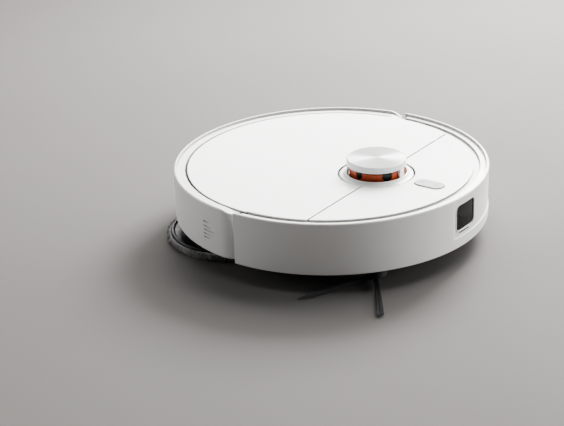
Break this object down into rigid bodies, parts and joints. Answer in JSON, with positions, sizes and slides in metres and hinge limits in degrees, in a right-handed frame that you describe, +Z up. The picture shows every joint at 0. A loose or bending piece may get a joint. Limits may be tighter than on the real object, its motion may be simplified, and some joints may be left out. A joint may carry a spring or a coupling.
{
  "type": "robot vacuum",
  "caption": "Round floor-cleaning robot with a laser turret, sprung bumper, roller and side brushes, lift-out dust bin and spinning mop pads.",
  "frame": {"origin": "on the floor under the middle of the round body", "axes": "+Z up, -Y to the front, +X to the machine's left"},
  "size_m": [0.35, 0.35, 0.097],
  "materials": {
    "shell_white": "satin moulded ABS",
    "lid_white": "smooth satin moulded ABS",
    "chassis_black": "fine grained black ABS",
    "window_black": "polished infrared-clear black",
    "camera_black": "black module",
    "turret_white": "satin",
    "rotor_orange": "translucent burnt orange",
    "lens_black": "coated lens",
    "cap_metal": "spun, radial sheen",
    "button_grey": "soft touch",
    "board_green": "solder mask",
    "cassette_black": "moulded",
    "gear_grey": "moulded casing",
    "steel": "turned",
    "spring_steel": "drawn wire",
    "tyre_rubber": "moulded rubber",
    "hub_grey": "moulded",
    "roller": "rubber vanes on an orange core",
    "cap_grey": "moulded",
    "latch_orange": "moulded",
    "bristle_black": "nylon bristles",
    "pad_grey": "microfibre pile",
    "plate_black": "moulded",
    "bin_smoke": "smoked clear plastic",
    "bin_dark": "moulded",
    "filter_white": "pleated paper",
    "battery_blue": "shrink wrap",
    "impeller": "moulded",
    "contact_gold": "plated contact",
    "speaker_black": "speaker can"
  },
  "bodies": {
    "body": {"chassis_base": "chassis_black", "upper_housing": "shell_white", "bin_well": "bin_dark", "front_cover": "lid_white", "front_camera": "camera_black", "turret_base": "turret_white", "button_board": "board_green", "brush_end_cap": "cap_grey", "brush_gearbox": "gear_grey", "side_gearbox": "gear_grey", "battery_pack": "battery_blue", "fan_housing": "bin_dark", "main_board": "board_green", "speaker": "speaker_black", "wheel_cassette_left": "cassette_black", "suspension_pin_left": "steel", "suspension_spring_left": "spring_steel", "charge_contact_left": "contact_gold", "cliff_sensor_left": "window_black", "wheel_cassette_right": "cassette_black", "suspension_pin_right": "steel", "suspension_spring_right": "spring_steel", "charge_contact_right": "contact_gold", "cliff_sensor_right": "window_black"},
    "bumper": {"bumper": "shell_white", "bumper_window": "window_black"},
    "laser_rotor": {"lidar_rotor": "rotor_orange", "lidar_emitter_lens": "lens_black", "lidar_receiver_lens": "lens_black"},
    "turret_cap": {"turret_cap": "cap_metal"},
    "power_button": {"power_button": "button_grey"},
    "caster_yoke": {"caster_yoke": "cassette_black", "caster_axle": "steel"},
    "caster_wheel": {"caster_wheel": "hub_grey"},
    "main_brush": {"main_brush": "roller"},
    "brush_guard": {"brush_guard": "cassette_black"},
    "side_brush": {"side_brush_hub": "cassette_black", "side_brush_arm_1": "bristle_black", "side_brush_arm_2": "bristle_black"},
    "mop_carriage": {"mop_carriage": "gear_grey"},
    "rear_lid": {"rear_lid": "lid_white"},
    "dust_bin": {"dust_bin": "bin_smoke", "bin_filter": "filter_white"},
    "dust_bin_lid": {"dust_bin_lid": "bin_dark"},
    "bin_handle": {"bin_handle": "latch_orange"},
    "fan_impeller": {"fan_impeller": "impeller"},
    "drive_arm_left": {"drive_unit_left": "gear_grey"},
    "wheel_left": {"tyre_left": "tyre_rubber", "wheel_hub_left": "hub_grey"},
    "guard_latch_left": {"guard_latch_left": "latch_orange"},
    "mop_left": {"mop_spindle_left": "steel", "mop_plate_left": "plate_black", "mop_pad_left": "pad_grey"},
    "drive_arm_right": {"drive_unit_right": "gear_grey"},
    "wheel_right": {"tyre_right": "tyre_rubber", "wheel_hub_right": "hub_grey"},
    "guard_latch_right": {"guard_latch_right": "latch_orange"},
    "mop_right": {"mop_spindle_right": "steel", "mop_plate_right": "plate_black", "mop_pad_right": "pad_grey"}
  },
  "joints": [
    {"name": "bumper_push", "type": "slide", "parent": "body", "child": "bumper", "axis": [0, 1, 0], "range_m": [0, 0.004], "stiffness_N_per_m": 800},
    {"name": "laser_spin", "type": "hinge", "parent": "body", "child": "laser_rotor", "pos_m": [0, -0.0595, 0.08], "axis": [0, 0, 1], "continuous": true},
    {"name": "turret_cap_press", "type": "slide", "parent": "body", "child": "turret_cap", "axis": [0, 0, -1], "range_m": [0, 0.0015], "stiffness_N_per_m": 600, "springref_m": -0.002},
    {"name": "button_rock", "type": "hinge", "parent": "body", "child": "power_button", "pos_m": [0, -0.126, 0.077], "axis": [1, 0, 0], "range_deg": [-1.5, 1.5], "stiffness_Nm_per_rad": 1},
    {"name": "wheel_drop_left", "type": "hinge", "parent": "body", "child": "drive_arm_left", "pos_m": [0.108, -0.046, 0.04], "axis": [-1, 0, 0], "range_deg": [0, 24], "stiffness_Nm_per_rad": 0.25, "springref_deg": 68.75, "deforming": ["suspension_spring_left"]},
    {"name": "wheel_spin_left", "type": "hinge", "parent": "drive_arm_left", "child": "wheel_left", "pos_m": [0.122, -0.012, 0.033], "axis": [1, 0, 0], "continuous": true},
    {"name": "wheel_drop_right", "type": "hinge", "parent": "body", "child": "drive_arm_right", "pos_m": [-0.108, -0.046, 0.04], "axis": [-1, 0, 0], "range_deg": [0, 24], "stiffness_Nm_per_rad": 0.25, "springref_deg": 68.75, "deforming": ["suspension_spring_right"]},
    {"name": "wheel_spin_right", "type": "hinge", "parent": "drive_arm_right", "child": "wheel_right", "pos_m": [-0.122, -0.012, 0.033], "axis": [1, 0, 0], "continuous": true},
    {"name": "caster_swivel", "type": "hinge", "parent": "body", "child": "caster_yoke", "pos_m": [0, -0.143, 0.02], "axis": [0, 0, 1], "continuous": true},
    {"name": "caster_roll", "type": "hinge", "parent": "caster_yoke", "child": "caster_wheel", "pos_m": [0, -0.14, 0.0075], "axis": [1, 0, 0], "continuous": true},
    {"name": "brush_spin", "type": "hinge", "parent": "body", "child": "main_brush", "pos_m": [0, -0.038, 0.024], "axis": [1, 0, 0], "continuous": true},
    {"name": "guard_open", "type": "hinge", "parent": "body", "child": "brush_guard", "pos_m": [0, -0.0644, 0.0111], "axis": [-1, 0, 0], "range_deg": [0, 60]},
    {"name": "guard_latch_press_left", "type": "slide", "parent": "brush_guard", "child": "guard_latch_left", "axis": [0, -1, 0], "range_m": [0, 0.002], "stiffness_N_per_m": 300},
    {"name": "guard_latch_press_right", "type": "slide", "parent": "brush_guard", "child": "guard_latch_right", "axis": [0, -1, 0], "range_m": [0, 0.002], "stiffness_N_per_m": 300},
    {"name": "side_brush_spin", "type": "hinge", "parent": "body", "child": "side_brush", "pos_m": [-0.087, -0.112, 0.01], "axis": [0, 0, 1], "continuous": true},
    {"name": "mop_lift", "type": "slide", "parent": "body", "child": "mop_carriage", "axis": [0, 0, 1], "range_m": [0, 0.01]},
    {"name": "mop_spin_left", "type": "hinge", "parent": "mop_carriage", "child": "mop_left", "pos_m": [0.076, 0.084, 0.01], "axis": [0, 0, 1], "continuous": true},
    {"name": "mop_spin_right", "type": "hinge", "parent": "mop_carriage", "child": "mop_right", "pos_m": [-0.076, 0.084, 0.01], "axis": [0, 0, 1], "continuous": true},
    {"name": "rear_lid_lift", "type": "slide", "parent": "body", "child": "rear_lid", "axis": [0, 0, 1], "range_m": [0, 0.15]},
    {"name": "dust_bin_lift", "type": "slide", "parent": "body", "child": "dust_bin", "axis": [0, 0, 1], "range_m": [0, 0.06]},
    {"name": "bin_lid_open", "type": "hinge", "parent": "dust_bin", "child": "dust_bin_lid", "pos_m": [0, -0.0156, 0.0727], "axis": [1, 0, 0], "range_deg": [0, 60]},
    {"name": "bin_handle_fold", "type": "hinge", "parent": "dust_bin", "child": "bin_handle", "pos_m": [0, 0.0424, 0.0709], "axis": [-1, 0, 0], "range_deg": [0, 90]},
    {"name": "fan_spin", "type": "hinge", "parent": "body", "child": "fan_impeller", "pos_m": [0, 0.075, 0.045], "axis": [0, 0, 1], "continuous": true}
  ],
  "couplings": [
    {"joint": "mop_spin_right", "follows": "mop_spin_left", "ratio": -1},
    {"joint": "dust_bin_lift", "follows": "rear_lid_lift", "ratio": 0.4},
    {"joint": "bin_lid_open", "follows": "rear_lid_lift", "rad_per_m": 6.9811},
    {"joint": "bin_handle_fold", "follows": "rear_lid_lift", "rad_per_m": 10.472}
  ]
}
